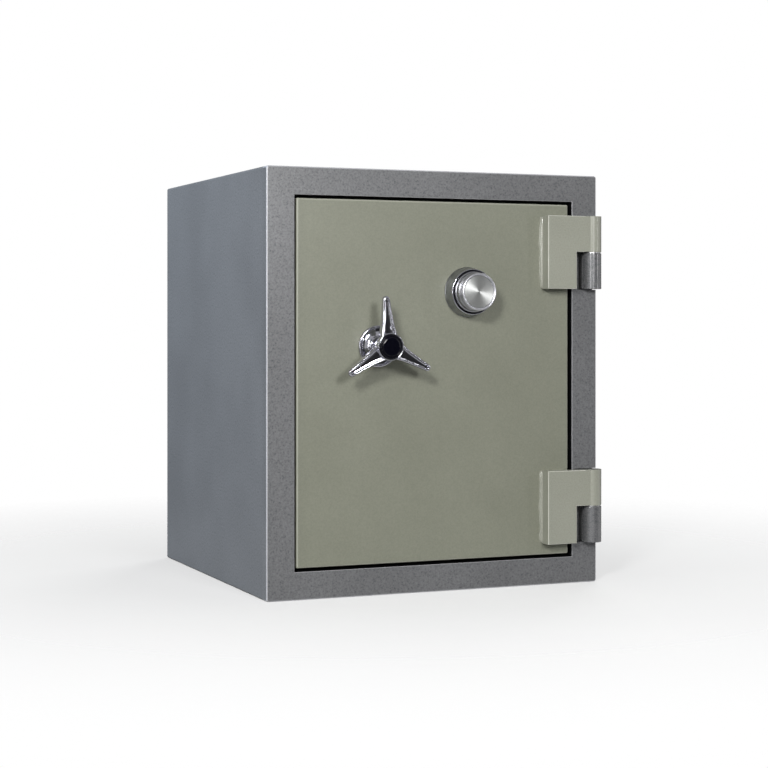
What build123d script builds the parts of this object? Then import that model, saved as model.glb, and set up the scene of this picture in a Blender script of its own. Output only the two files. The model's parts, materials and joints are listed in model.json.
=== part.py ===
"""A compact fire-and-burglary composite safe with a combination dial and a three-spoke handle.

Millimetres. +Z is up, the door faces -Y, and the origin is the middle of the underside.
Depths into the safe are counted from the front face of the body, so depth d is at y = front(d).
"""
from build123d import *
import math
import os

# Body.
WIDTH = 588.0
DEPTH = 568.0
HEIGHT = 685.0
MID_Z = HEIGHT / 2
SHEET = 4.0
CORNER_R = 4.0
FRAME_T = 20.0
FRAME_EDGE_R = 2.5
DOORWAY_EDGE_R = 0.8

# Stepped doorway: a wide first stage, a narrower second stage, then the store inside.
STAGE1 = (495.0, 596.0)
STAGE2 = (458.5, 560.0)
STORE = (400.0, 500.0)
STEP_D = 50.0
STORE_D = 112.0
STORE_BACK_D = 478.0
JAMB_T = 4.0
LINER_T = 3.0

# Shelf in the store, and the sleeves for the two floor bolts.
SHELF_Z = 340.0
SHELF_D = (135.0, 470.0)
SHELF_T = 2.0
SHELF_LIP = 20.0
BRACKET = 16.0
ANCHOR_X = (-110.0, 110.0)
ANCHOR_D = 300.0
ANCHOR_HOLE_R = 7.0
ANCHOR_TUBE_R = 11.0

# Door.
DOOR_FACE_D = 4.2
DOOR_T = 10.0
DOOR1 = (485.2, 586.2)
DOOR2 = (436.5, 538.0)
DOOR_STEP_D = 46.0
DOOR_BACK_D = 106.0
DOOR_EDGE_R = 3.5
PAN_T = 3.0
PLATE_D = 52.0
PLATE_T = 5.0
COVER_T = 3.0
LIP_W = 13.0
SCREW_R = 2.5
HARD_PLATE_T = 6.0
SEAL_T = 3.5
SEAL_W = 12.0

# Hinges: the door half carries the upper barrel, the body half the lower one.
HINGE_X = 281.0
HINGE_D = -8.0
HINGE_H = 122.0
HINGE_Z = (HEIGHT / 2 - 212.5, HEIGHT / 2 + 212.5)
BARREL_R = 16.0
PIN_R = 7.0
PIN_FIT = 0.05
PIN_TOP = 46.0
WASHER_T = 2.0
BLOCK_X = 192.0
NOTCH_X = 246.0
BLOCK_FACE_D = -21.0
BLOCK_EDGE_R = 1.4
POCKET_X = 252.0
POCKET_D = 14.0
FOOT_X = 270.0
WELD_R = 5.0

# Handle.
HANDLE_X = -104.0
HANDLE_Z = 400.0
SPINDLE_R = 8.0
BUSH_R = 11.0
BUSH_FIT = 0.05
SPOKES = 3
SPOKE_TILT = 3.2
SPOKE_TIP_R = 80.5
HUB_R = 21.8
HUB_FRONT = 57.0
NECK_R = 13.0
CAP_R = 19.5
FLANGE_R = 34.0

# Bolt work.
THROW = 24.0
BOLT_R = 14.0
BOLT_D = 80.0
BOLT_SPACING = 190.0
BOLT_Z = tuple(MID_Z + i * BOLT_SPACING for i in (-1, 0, 1))
BOLT_FIT = 0.08
BOLT_TIP_X = -DOOR2[0] / 2
BUSHING_R = 18.0
BUSHING_LEN = 16.0
KEEPER_HOLE = 34.0
KEEPER_T = 16.0
KEEPER_D = (58.0, 102.0)
KEEPER_H = 520.0
DEAD_BAR_H = 380.0
DEAD_BAR_D = (78.0, 90.0)
DEAD_BAR_X = (DOOR2[0] / 2, 237.0)
DEAD_SLOT_D = (66.0, 100.0)
DEAD_SLOT_H = DEAD_BAR_H + 6.0
DEAD_CHANNEL_T = 4.0
DEAD_CHANNEL_W = 20.0
WEB_X = -158.0
WEB_T = 6.0
BAR_D = 62.0
BAR_T = 6.0
CRANK_R = 24.0
CRANK_SWING = 60.0
CRANK_PIN_R = 5.0
SLOT_PLAY = 0.5
TAB_CLEAR = 1.5
STUD_X = -94.0
STUD_Z = (142.5, 557.5)
STUD_R = 4.0

# Combination dial and lock.
DIAL_X = 55.0
DIAL_Z = 488.0
RING_BASE_R = 41.0
RING_RIM_R = 37.2
RING_H = 24.0
INDEX_ANGLES = (0, 23)
KNOB_R = 31.8
KNOB_RIM_R = 30.3
KNOB_H = 48.0
FACE_R = 26.2
DIAL_SPINDLE_R = 4.0
TUBE_R = 7.0
TUBE_BORE_R = 4.5
LOCK_W = 60.0
LOCK_Z = (448.0, 530.0)
LOCK_D = PLATE_D + PLATE_T
LOCK_T = 32.0
LOCK_WALL = 3.0
LOCK_CORNER = 10.0
WHEEL_R = 22.0
WHEEL_T = 3.0
WHEEL_PITCH = 5.0
WHEELS = 3
WHEEL_BORE_R = 6.0
CAM_D = (LOCK_D + 4.0, LOCK_D + 9.0)
WHEEL_D = tuple(LOCK_D + 12.0 + i * WHEEL_PITCH for i in range(WHEELS))
GATE_ANGLE = 126.0
BOLT_W = 12.0
LOCK_BOLT_T = 10.0
LOCK_BOLT_D = (LOCK_D + 4.5, LOCK_D + 4.5 + LOCK_BOLT_T)
LOCK_BOLT_TOP = LOCK_Z[1] + 1.5
LEVER_Z = (513.0, 518.0)


def front(depth):
    """The y of a plane that lies this deep behind the front face of the body."""
    return depth - DEPTH / 2


def block(x0, x1, d0, d1, z0, z1):
    """A block between two corners, with its front and back given as depths."""
    centre = Pos((x0 + x1) / 2, front((d0 + d1) / 2), (z0 + z1) / 2)
    return centre * Box(x1 - x0, d1 - d0, z1 - z0)


def slab(size, d0, d1):
    """A block of this width and height, centred on the doorway."""
    return block(-size[0] / 2, size[0] / 2, d0, d1, MID_Z - size[1] / 2, MID_Z + size[1] / 2)


def ring(outer, inner, d0, d1):
    """A rectangular ring, centred on the doorway."""
    return slab(outer, d0, d1) - slab(inner, d0 - 1, d1 + 1)


def grown(size, by):
    """A width and height made larger by this much on each of the four sides."""
    return (size[0] + 2 * by, size[1] + 2 * by)


def rod(x, z, d0, d1, radius):
    """A round bar that runs front to back."""
    return Pos(x, front((d0 + d1) / 2), z) * Rot(90, 0, 0) * Cylinder(radius, d1 - d0)


def cross_rod(d, z, x0, x1, radius):
    """A round bar that runs left to right."""
    return Pos((x0 + x1) / 2, front(d), z) * Rot(0, 90, 0) * Cylinder(radius, x1 - x0)


def post(x, d, z0, z1, radius):
    """An upright round bar."""
    return Pos(x, front(d), (z0 + z1) / 2) * Cylinder(radius, z1 - z0)


def turned(x, z, profile):
    """A turned piece about a front-to-back axis. The profile lists (radius, depth) points."""
    outline = Polyline(*[(r, d) for r, d in profile], close=True)
    solid = revolve(make_face(Plane.XY * outline), Axis.Y)
    return Pos(x, front(0), z) * solid


def all_of(pieces):
    """Several separate solids kept together as one group."""
    return Compound(children=[solid for piece in pieces for solid in piece.solids()])


def joined(pieces):
    """Touching or overlapping pieces welded into one solid."""
    total = pieces[0]
    for piece in pieces[1:]:
        total = total + piece
    return total


# ---------------------------------------------------------------- the body

def hinge_span(centre_z):
    """The lowest and highest z of one hinge."""
    return centre_z - HINGE_H / 2, centre_z + HINGE_H / 2


def front_frame():
    """The thick ring round the doorway, with a relief at its edge for each hinge barrel."""
    body = slab((WIDTH, HEIGHT), 0, FRAME_T)
    body = fillet(body.edges().filter_by(Axis.Y), CORNER_R)
    rim = body.faces().sort_by(Axis.Y)[0].edges()
    body = fillet(rim, FRAME_EDGE_R)
    body -= slab(STAGE1, -1, FRAME_T + 1)
    half_w = STAGE1[0] / 2 + 0.1
    doorway = [e for e in body.faces().sort_by(Axis.Y)[0].edges() if abs(e.center().X) < half_w]
    body = fillet([e for e in doorway if abs(e.center().Z - MID_Z) < STAGE1[1] / 2 + 0.1], DOORWAY_EDGE_R)
    for centre_z in HINGE_Z:
        low, high = hinge_span(centre_z)
        body -= block(POCKET_X, WIDTH / 2 + 1, -1, POCKET_D, low - 1, high + 1)
    return body


def outer_casing():
    """The folded sheet that makes the top, sides and underside."""
    tube = slab((WIDTH, HEIGHT), FRAME_T, DEPTH)
    tube = fillet(tube.edges().filter_by(Axis.Y), CORNER_R)
    tube = fillet(tube.faces().sort_by(Axis.Y)[-1].edges(), 1.5)
    tube -= slab(grown((WIDTH, HEIGHT), -SHEET), FRAME_T - 1, DEPTH + 1)
    for x in ANCHOR_X:
        tube -= post(x, ANCHOR_D, -1, SHEET + 1, ANCHOR_HOLE_R)
    return tube


def back_panel():
    return slab(grown((WIDTH, HEIGHT), -SHEET), DEPTH - SHEET, DEPTH)


def side_jamb(side):
    """One side of the stepped doorway, as a folded strip. side is -1 for left, 1 for right."""
    half1 = STAGE1[0] / 2
    half2 = STAGE2[0] / 2
    tall1 = STAGE1[1] / 2
    tall2 = STAGE2[1] / 2

    def strip(inner, outer, d0, d1, half_height):
        x0, x1 = sorted((side * inner, side * outer))
        return block(x0, x1, d0, d1, MID_Z - half_height, MID_Z + half_height)

    return joined([
        strip(half1, half1 + JAMB_T, FRAME_T, STEP_D + JAMB_T, tall1 + JAMB_T),
        strip(half2, half1, STEP_D, STEP_D + JAMB_T, tall1),
        strip(half2, half2 + JAMB_T, STEP_D + JAMB_T, STORE_D, tall2 + JAMB_T),
    ])


def level_jamb(side):
    """The top (1) or bottom (-1) of the stepped doorway."""
    half1 = STAGE1[0] / 2
    half2 = STAGE2[0] / 2
    tall1 = STAGE1[1] / 2
    tall2 = STAGE2[1] / 2

    def strip(inner, outer, d0, d1, half_width):
        z0, z1 = sorted((MID_Z + side * inner, MID_Z + side * outer))
        return block(-half_width, half_width, d0, d1, z0, z1)

    return joined([
        strip(tall1, tall1 + JAMB_T, FRAME_T, STEP_D + JAMB_T, half1),
        strip(tall2, tall1, STEP_D, STEP_D + JAMB_T, half2),
        strip(tall2, tall2 + JAMB_T, STEP_D + JAMB_T, STORE_D, half2),
    ])


def bolt_holes(depth_x):
    """The square holes that the three live bolts are thrown into."""
    wall = -STAGE2[0] / 2
    half = KEEPER_HOLE / 2
    return [block(wall - depth_x, wall + 1, BOLT_D - half, BOLT_D + half, z - half, z + half) for z in BOLT_Z]


def keeper_blank():
    """The outline of the strip that the live bolts are held by."""
    x1 = -STAGE2[0] / 2 - JAMB_T
    return block(x1 - KEEPER_T, x1, *KEEPER_D, MID_Z - KEEPER_H / 2, MID_Z + KEEPER_H / 2)


def jamb_left():
    strip = side_jamb(-1)
    for hole in bolt_holes(JAMB_T + 1):
        strip -= hole
    return strip


def dead_slot(x1):
    """The upright slot in the hinge-side jamb that the fixed bar sits in."""
    return block(STAGE2[0] / 2 - 1, x1, *DEAD_SLOT_D, MID_Z - DEAD_SLOT_H / 2, MID_Z + DEAD_SLOT_H / 2)


def jamb_right():
    return side_jamb(1) - dead_slot(STAGE2[0] / 2 + JAMB_T + 1)


def bolt_keeper():
    """The pocketed steel strip behind the left jamb, which the live bolts are held by."""
    strip = keeper_blank()
    for hole in bolt_holes(JAMB_T + KEEPER_T - 3):
        strip -= hole
    return strip


def dead_channel_blank():
    """The outline of the channel behind the slot on the hinge side."""
    x0 = STAGE2[0] / 2 + JAMB_T
    half = DEAD_SLOT_H / 2 + DEAD_CHANNEL_T
    depths = (DEAD_SLOT_D[0] - DEAD_CHANNEL_T, DEAD_SLOT_D[1] + DEAD_CHANNEL_T)
    return block(x0, x0 + DEAD_CHANNEL_W, *depths, MID_Z - half, MID_Z + half)


def dead_bar_keeper():
    """The channel that the fixed bar sits in."""
    return dead_channel_blank() - dead_slot(STAGE2[0] / 2 + JAMB_T + DEAD_CHANNEL_W - DEAD_CHANNEL_T)


def liner_side(side):
    """One upright wall of the store, with its flange turned out to meet the jamb."""
    half = STORE[0] / 2
    wall_x = sorted((side * half, side * (half + LINER_T)))
    flange_x = sorted((side * half, side * STAGE2[0] / 2))
    tall = STORE[1] / 2 + LINER_T
    wall = block(*wall_x, STORE_D, STORE_BACK_D, MID_Z - tall, MID_Z + tall)
    return wall + block(*flange_x, STORE_D, STORE_D + LINER_T, MID_Z - STAGE2[1] / 2, MID_Z + STAGE2[1] / 2)


def liner_level(side):
    """The roof (1) or floor (-1) of the store, with its flange turned out to meet the jamb."""
    half = STORE[0] / 2
    inner = MID_Z + side * STORE[1] / 2
    wall_z = sorted((inner, inner + side * LINER_T))
    flange_z = sorted((inner, MID_Z + side * STAGE2[1] / 2))
    wall = block(-half, half, STORE_D, STORE_BACK_D, *wall_z)
    return wall + block(-half, half, STORE_D, STORE_D + LINER_T, *flange_z)


def inner_liner():
    """The sheet-steel store: two sides, a roof, a floor and a back, seam-welded together."""
    floor = liner_level(-1)
    for x in ANCHOR_X:
        floor -= post(x, ANCHOR_D, 0, MID_Z, ANCHOR_HOLE_R)
    back = slab(grown(STORE, LINER_T), STORE_BACK_D, STORE_BACK_D + LINER_T)
    return all_of([liner_side(-1), liner_side(1), liner_level(1), floor, back])


def anchor_sleeves():
    """Tubes through the insulated floor for the two floor bolts."""
    top = MID_Z - STORE[1] / 2 - LINER_T
    return all_of([
        post(x, ANCHOR_D, SHEET, top, ANCHOR_TUBE_R) - post(x, ANCHOR_D, 0, top + 1, ANCHOR_HOLE_R)
        for x in ANCHOR_X
    ])


def wall_insulation():
    """The cast fire-resistant fill between the casing and the store."""
    fill = slab(grown((WIDTH, HEIGHT), -SHEET), FRAME_T, DEPTH - SHEET)
    fill -= slab(grown(STAGE1, JAMB_T), FRAME_T - 1, STEP_D + JAMB_T)
    fill -= slab(grown(STAGE2, JAMB_T), STEP_D, STORE_D + LINER_T)
    fill -= slab(grown(STORE, LINER_T), STORE_D, STORE_BACK_D + LINER_T)
    fill -= keeper_blank()
    fill -= dead_channel_blank()
    for x in ANCHOR_X:
        fill -= post(x, ANCHOR_D, 0, MID_Z, ANCHOR_TUBE_R)
    return fill


def shelf():
    """A folded steel shelf with a turned-down front edge."""
    half = STORE[0] / 2 - 1.5
    tray = block(-half, half, *SHELF_D, SHELF_Z, SHELF_Z + SHELF_T)
    lip_low = SHELF_Z - SHELF_LIP
    tray += block(-half, half, SHELF_D[0], SHELF_D[0] + SHELF_T, lip_low, SHELF_Z)
    tray += block(-half, half, SHELF_D[0], SHELF_D[0] + 12, lip_low, lip_low + SHELF_T)
    return tray


def shelf_brackets():
    """Two angle strips welded to the sides of the store."""
    strips = []
    for side in (-1, 1):
        wall = side * STORE[0] / 2
        x0, x1 = sorted((wall, wall - side * BRACKET))
        lip0, lip1 = sorted((wall, wall - side * SHELF_T))
        d0 = SHELF_D[0] + 16
        angle = block(x0, x1, d0, SHELF_D[1], SHELF_Z - SHELF_T, SHELF_Z)
        angle += block(lip0, lip1, d0, SHELF_D[1], SHELF_Z - BRACKET, SHELF_Z)
        strips.append(angle)
    return all_of(strips)


def hinge_knuckles():
    """The body's lower barrels, each on a foot that is welded into the relief."""
    knuckles = []
    for centre_z in HINGE_Z:
        low, _ = hinge_span(centre_z)
        high = centre_z - WASHER_T / 2
        barrel = post(HINGE_X, HINGE_D, low, high, BARREL_R)
        barrel = fillet(barrel.edges(), 1.0)
        barrel += block(FOOT_X, WIDTH / 2 - 0.5, HINGE_D + 6, POCKET_D, low + 1, high - 1)
        barrel -= post(HINGE_X, HINGE_D, low + 8, high + 1, PIN_R)
        knuckles.append(barrel)
    return all_of(knuckles)


def hinge_pins():
    """Plain pins that are pressed into the lower barrels and carry the door."""
    pins = []
    for centre_z in HINGE_Z:
        low, _ = hinge_span(centre_z)
        pin = post(HINGE_X, HINGE_D, low + 8, centre_z + PIN_TOP, PIN_R)
        pins.append(chamfer(pin.edges().sort_by(Axis.Z)[-1], 1.5))
    return all_of(pins)


def hinge_washers():
    """Bearing washers between the two barrels of each hinge."""
    rings = []
    for centre_z in HINGE_Z:
        z0 = centre_z - WASHER_T / 2
        z1 = z0 + WASHER_T
        disc = post(HINGE_X, HINGE_D, z0, z1, BARREL_R - 1.5)
        rings.append(disc - post(HINGE_X, HINGE_D, z0 - 1, z1 + 1, PIN_R))
    return all_of(rings)


# ---------------------------------------------------------------- the door

def door_passages(d0, d1):
    """The two round holes that the dial's tube and the handle's bushing go through."""
    return [rod(DIAL_X, DIAL_Z, d0, d1, TUBE_R), rod(HANDLE_X, HANDLE_Z, d0, d1, BUSH_R)]


def door_plate():
    """The thick front plate of the door, with its front edges rounded over."""
    plate = slab(DOOR1, DOOR_FACE_D, DOOR_FACE_D + DOOR_T)
    plate = fillet(plate.edges().filter_by(Axis.Y), 2.0)
    plate = fillet(plate.faces().sort_by(Axis.Y)[0].edges(), DOOR_EDGE_R)
    for hole in door_passages(0, DOOR_T + 10):
        plate -= hole
    return plate


def door_pan():
    """The stepped sheet-steel pan behind the front plate, with a turned-in lip at the back."""
    lip_d = DOOR_BACK_D - COVER_T
    pan = ring(DOOR1, grown(DOOR1, -PAN_T), DOOR_FACE_D + DOOR_T, DOOR_STEP_D)
    pan += ring(DOOR1, grown(DOOR2, -PAN_T), DOOR_STEP_D - PAN_T, DOOR_STEP_D)
    pan += ring(DOOR2, grown(DOOR2, -PAN_T), DOOR_STEP_D, lip_d)
    pan += ring(DOOR2, grown(DOOR2, -PAN_T - LIP_W), lip_d - PAN_T, lip_d)
    for z in BOLT_Z:
        pan -= cross_rod(BOLT_D, z, BOLT_TIP_X - 1, BOLT_TIP_X + PAN_T + 1, BUSHING_R)
    for x, z in cover_screw_places():
        pan -= rod(x, z, lip_d - PAN_T - 1, lip_d + 1, SCREW_R)
    return pan


def bolt_bushings():
    """Flanged guides in the edge of the door for the three live bolts."""
    guides = []
    for z in BOLT_Z:
        guide = cross_rod(BOLT_D, z, BOLT_TIP_X + 0.5, BOLT_TIP_X + BUSHING_LEN, BUSHING_R)
        guide += cross_rod(BOLT_D, z, BOLT_TIP_X + PAN_T, BOLT_TIP_X + PAN_T + 4, BUSHING_R + 1.8)
        guide -= cross_rod(BOLT_D, z, BOLT_TIP_X - 1, BOLT_TIP_X + 30, BOLT_R + BOLT_FIT)
        guides.append(guide)
    return all_of(guides)


def cover_screw_places():
    """Four screws down each side and one at the middle of the top and bottom."""
    inset = PAN_T + LIP_W / 2
    half_w = DOOR2[0] / 2 - inset
    half_h = DOOR2[1] / 2 - inset
    places = [(side * half_w, MID_Z + share * half_h) for side in (-1, 1) for share in (-1, -1 / 3, 1 / 3, 1)]
    return places + [(0, MID_Z - half_h), (0, MID_Z + half_h)]


def door_back_cover():
    """The removable sheet over the bolt work."""
    sheet = slab(DOOR2, DOOR_BACK_D - COVER_T, DOOR_BACK_D)
    sheet = fillet(sheet.faces().sort_by(Axis.Y)[-1].edges(), 1.0)
    for x, z in cover_screw_places():
        sheet -= rod(x, z, DOOR_BACK_D - COVER_T - 1, DOOR_BACK_D + 1, SCREW_R)
    return sheet


def pan_screw(x, z, d_head, d_tip, radius, head_r, head_t):
    """A screw driven from the back, with a domed head and a cross recess."""
    head = rod(x, z, d_head, d_head + head_t, head_r)
    head = fillet(head.edges().sort_by(Axis.Y)[-1], head_t * 0.6)
    recess_w = head_r * 0.22
    depths = (d_head + head_t * 0.5, d_head + head_t + 1)
    for half_w, half_h in ((head_r * 0.6, recess_w), (recess_w, head_r * 0.6)):
        head -= block(x - half_w, x + half_w, *depths, z - half_h, z + half_h)
    return head + rod(x, z, d_tip, d_head, radius)


def cover_screws():
    return all_of([
        pan_screw(x, z, DOOR_BACK_D, DOOR_BACK_D - COVER_T - PAN_T - 2, SCREW_R, 5.0, 2.4)
        for x, z in cover_screw_places()
    ])


def door_insulation():
    """The cast fire-resistant fill between the front plate and the bolt work."""
    fill = slab(grown(DOOR1, -PAN_T), DOOR_FACE_D + DOOR_T, DOOR_STEP_D - PAN_T)
    fill += slab(grown(DOOR2, -PAN_T), DOOR_STEP_D - PAN_T, PLATE_D)
    fill -= hard_plate_blank()
    for hole in door_passages(0, PLATE_D + 1):
        fill -= hole
    return fill


def hard_plate_blank():
    half = 46.0
    return block(DIAL_X - half, DIAL_X + half, PLATE_D - HARD_PLATE_T, PLATE_D, DIAL_Z - half, DIAL_Z + half)


def hard_plate():
    """A drill-resistant plate in front of the lock."""
    return hard_plate_blank() - rod(DIAL_X, DIAL_Z, 0, PLATE_D + 1, TUBE_R)


def boltwork_plate():
    """The steel plate that the lock and the bolt work are mounted on."""
    plate = slab(grown(DOOR2, -PAN_T), PLATE_D, PLATE_D + PLATE_T)
    for hole in door_passages(PLATE_D - 1, PLATE_D + PLATE_T + 1):
        plate -= hole
    for z in STUD_Z:
        plate -= rod(STUD_X, z, PLATE_D - 1, PLATE_D + PLATE_T + 1, STUD_R)
    for x, z in lock_screw_places():
        plate -= rod(x, z, PLATE_D - 1, PLATE_D + PLATE_T + 1, SCREW_R)
    return plate


def door_seal():
    """An intumescent strip on the step of the door."""
    middle = ((DOOR1[0] + DOOR2[0]) / 2, (DOOR1[1] + DOOR2[1]) / 2)
    return ring(grown(middle, SEAL_W / 2), grown(middle, -SEAL_W / 2), DOOR_STEP_D, DOOR_STEP_D + SEAL_T)


def dead_bar():
    """The fixed bar on the hinge edge, which holds the door even if the hinges are cut off."""
    bar = block(*DEAD_BAR_X, *DEAD_BAR_D, MID_Z - DEAD_BAR_H / 2, MID_Z + DEAD_BAR_H / 2)
    return chamfer(bar.faces().sort_by(Axis.X)[-1].edges().filter_by(Axis.Z), 2.0)


def hinge_block(centre_z):
    """The door half of a hinge: an L-shaped block whose upper arm ends in the barrel."""
    low, high = hinge_span(centre_z)
    arm_low = centre_z + WASHER_T / 2
    clear_of_frame = -1.5
    body = block(BLOCK_X, NOTCH_X, BLOCK_FACE_D, clear_of_frame, low, high)
    body += block(NOTCH_X, HINGE_X, BLOCK_FACE_D, clear_of_frame, arm_low, high)
    body = fillet(body.faces().sort_by(Axis.Y)[0].edges(), BLOCK_EDGE_R)
    body += block(BLOCK_X, DOOR1[0] / 2 - DOOR_EDGE_R, clear_of_frame, DOOR_FACE_D, low, high)
    body += post(HINGE_X, HINGE_D, arm_low, high, BARREL_R)
    return body - post(HINGE_X, HINGE_D, arm_low - 1, centre_z + PIN_TOP + 2, PIN_R + PIN_FIT)


def hinge_welds():
    """The weld runs where the hinge blocks meet the door, down their left edges."""
    runs = []
    for centre_z in HINGE_Z:
        low, high = hinge_span(centre_z)
        run = post(BLOCK_X, DOOR_FACE_D, low, high, WELD_R)
        run &= block(BLOCK_X - WELD_R - 1, BLOCK_X, DOOR_FACE_D - WELD_R - 1, DOOR_FACE_D, low, high)
        runs.append(run)
    return all_of(runs)


# ---------------------------------------------------------------- the handle

def handle_flange():
    """The domed rosette on the door round the handle's neck."""
    face = DOOR_FACE_D
    return turned(HANDLE_X, HANDLE_Z, [
        (SPINDLE_R + 3.5, face), (FLANGE_R - 0.6, face), (FLANGE_R, face - 1), (FLANGE_R - 0.6, face - 2.4),
        (FLANGE_R - 5, face - 4.2), (FLANGE_R - 11, face - 5.6), (17.5, face - 6.4), (16.6, face - 8.5),
        (15.6, face - 10), (SPINDLE_R + 3.5, face - 10),
    ])


def handle_bushing():
    """The plain bearing of the handle's spindle, right through the door."""
    outer = rod(HANDLE_X, HANDLE_Z, DOOR_FACE_D, PLATE_D + PLATE_T, BUSH_R)
    return outer - rod(HANDLE_X, HANDLE_Z, 0, PLATE_D + PLATE_T + 1, SPINDLE_R + BUSH_FIT)


def spoke_section(radius, width, thickness, height):
    """One rounded cross-section of a spoke, at a radius from the hub's axis."""
    plane = Plane(origin=(0, -height, radius), x_dir=(1, 0, 0), z_dir=(0, 0, 1))
    return plane * RectangleRounded(width, thickness, thickness * 0.42)


def spoke(angle):
    """A tapering spoke with a dished face. The angle turns it anticlockwise from straight up."""
    stations = [(12, 25.0, 17.0, 46.0), (34, 19.0, 13.5, 45.0), (58, 13.5, 10.5, 44.5)]
    stations.append((SPOKE_TIP_R - 5, 10.0, 8.4, 44.5))
    arm = loft([spoke_section(*station) for station in stations])
    arm += Pos(0, -44.5, SPOKE_TIP_R - 5) * Rot(90, 0, 0) * Cylinder(5.0, 8.4)
    dish_outline = [(-8.2, 22.5), (8.2, 22.5), (1.9, SPOKE_TIP_R - 8), (-1.9, SPOKE_TIP_R - 8)]
    outline = Polyline(*dish_outline, close=True)
    dish = extrude(make_face(Plane.XZ.offset(46.6) * outline), 20)
    return Pos(HANDLE_X, front(DOOR_FACE_D), HANDLE_Z) * Rot(0, -angle, 0) * (arm - dish)


def handle():
    """The three-spoke handle: a waisted hub and its spokes, cast in one piece."""
    face = DOOR_FACE_D
    hub = turned(HANDLE_X, HANDLE_Z, [
        (SPINDLE_R, face - 11), (NECK_R, face - 11), (NECK_R, face - 22), (14.5, face - 28),
        (18.5, face - 34), (21.0, face - 40), (HUB_R, face - 46), (HUB_R, face - HUB_FRONT + 1),
        (HUB_R - 1, face - HUB_FRONT), (CAP_R, face - HUB_FRONT), (CAP_R, face - HUB_FRONT + 5),
        (0, face - HUB_FRONT + 5), (0, face - 38), (SPINDLE_R, face - 38),
    ])
    spokes = [spoke(SPOKE_TILT + i * 360 / SPOKES) for i in range(SPOKES)]
    return joined([hub] + [arm - rod(HANDLE_X, HANDLE_Z, -80, 20, HUB_R - 1.5) for arm in spokes])


def hub_cap():
    """The black domed insert in the front of the hub."""
    base = DOOR_FACE_D - HUB_FRONT + 5
    return turned(HANDLE_X, HANDLE_Z, [
        (0, base), (CAP_R, base), (CAP_R, base - 5.2), (CAP_R - 1.2, base - 6.2),
        (CAP_R - 6, base - 7.2), (0, base - 7.6),
    ])


def handle_spindle():
    """The round shaft from the hub to the crank."""
    return rod(HANDLE_X, HANDLE_Z, DOOR_FACE_D - 38, BAR_D - 0.6, SPINDLE_R)


def crank_pin_place(turn):
    """Where the crank's pin stands when the handle is turned this far from rest."""
    angle = math.radians(turn - CRANK_SWING / 2)
    return HANDLE_X - CRANK_R * math.sin(angle), HANDLE_Z + CRANK_R * math.cos(angle)


def handle_crank():
    """The crank on the spindle's inner end. Its pin drives the bolt bar."""
    d0 = PLATE_D + PLATE_T + 0.5
    d1 = BAR_D - 0.6
    x, z = crank_pin_place(0)
    arm = rod(HANDLE_X, HANDLE_Z, d0, d1, 15.0) + rod(x, z, d0, d1, 10.0)
    middle = Pos((HANDLE_X + x) / 2, front((d0 + d1) / 2), (HANDLE_Z + z) / 2)
    arm += middle * Rot(0, CRANK_SWING / 2, 0) * Box(20, d1 - d0, CRANK_R)
    arm += rod(x, z, d1, BAR_D + BAR_T + 2, CRANK_PIN_R)
    return arm - rod(HANDLE_X, HANDLE_Z, 0, BAR_D, SPINDLE_R)


# ---------------------------------------------------------------- the bolt work

def bolt_bar():
    """The upright bar that carries the live bolts, with an arm for the crank and one by the lock."""
    web = block(WEB_X, WEB_X + WEB_T, BAR_D, 96, 100, 585)
    inner = WEB_X + WEB_T
    bar_back = BAR_D + BAR_T
    bar = joined([
        web,
        block(inner, inner + 28, BAR_D, bar_back, 100, 585),
        block(inner + 28, HANDLE_X + 40, BAR_D, bar_back, HANDLE_Z - 5, HANDLE_Z + 45),
        block(inner + 28, STUD_X + THROW + 16, BAR_D, bar_back, STUD_Z[0] - 14, STUD_Z[0] + 14),
    ])
    tab_x = DIAL_X + BOLT_W / 2 + TAB_CLEAR
    tab_w = THROW - BOLT_W - 2 * TAB_CLEAR
    bar += block(inner + 28, tab_x + tab_w, BAR_D, bar_back, 545, 571.5)
    bar += block(tab_x, tab_x + tab_w, BAR_D, bar_back, LOCK_Z[1] + 3, 545)
    for z in BOLT_Z:
        bar -= cross_rod(BOLT_D, z, WEB_X - 1, inner + 1, SCREW_R + 1)
    pin_x, _ = crank_pin_place(0)
    half_w = CRANK_PIN_R + SLOT_PLAY
    bar -= block(pin_x - half_w, pin_x + half_w, BAR_D - 1, bar_back + 1, HANDLE_Z + 14, HANDLE_Z + 31)
    for z in STUD_Z:
        slot = [rod(x, z, BAR_D - 1, bar_back + 1, STUD_R + 0.3) for x in (STUD_X, STUD_X + THROW)]
        half_h = STUD_R + 0.3
        slot.append(block(STUD_X, STUD_X + THROW, BAR_D - 1, bar_back + 1, z - half_h, z + half_h))
        for piece in slot:
            bar -= piece
    return bar


def live_bolts():
    """The three round bolts, drawn back flush with the edge of the door."""
    bolts = []
    for z in BOLT_Z:
        bolt = cross_rod(BOLT_D, z, BOLT_TIP_X, WEB_X, BOLT_R)
        bolt = chamfer(bolt.edges().sort_by(Axis.X)[0], 2.0)
        bolts.append(bolt - cross_rod(BOLT_D, z, WEB_X - 16, WEB_X + 1, SCREW_R + 1))
    return all_of(bolts)


def bolt_screws():
    """Hexagon-headed screws that hold the live bolts to the bar."""
    screws = []
    for z in BOLT_Z:
        shank = cross_rod(BOLT_D, z, WEB_X - 15, WEB_X + WEB_T, SCREW_R + 1)
        seat = Plane(origin=(WEB_X + WEB_T, front(BOLT_D), z), z_dir=(1, 0, 0))
        screws.append(shank + extrude(seat * RegularPolygon(7.5, 6), 5))
    return all_of(screws)


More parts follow.
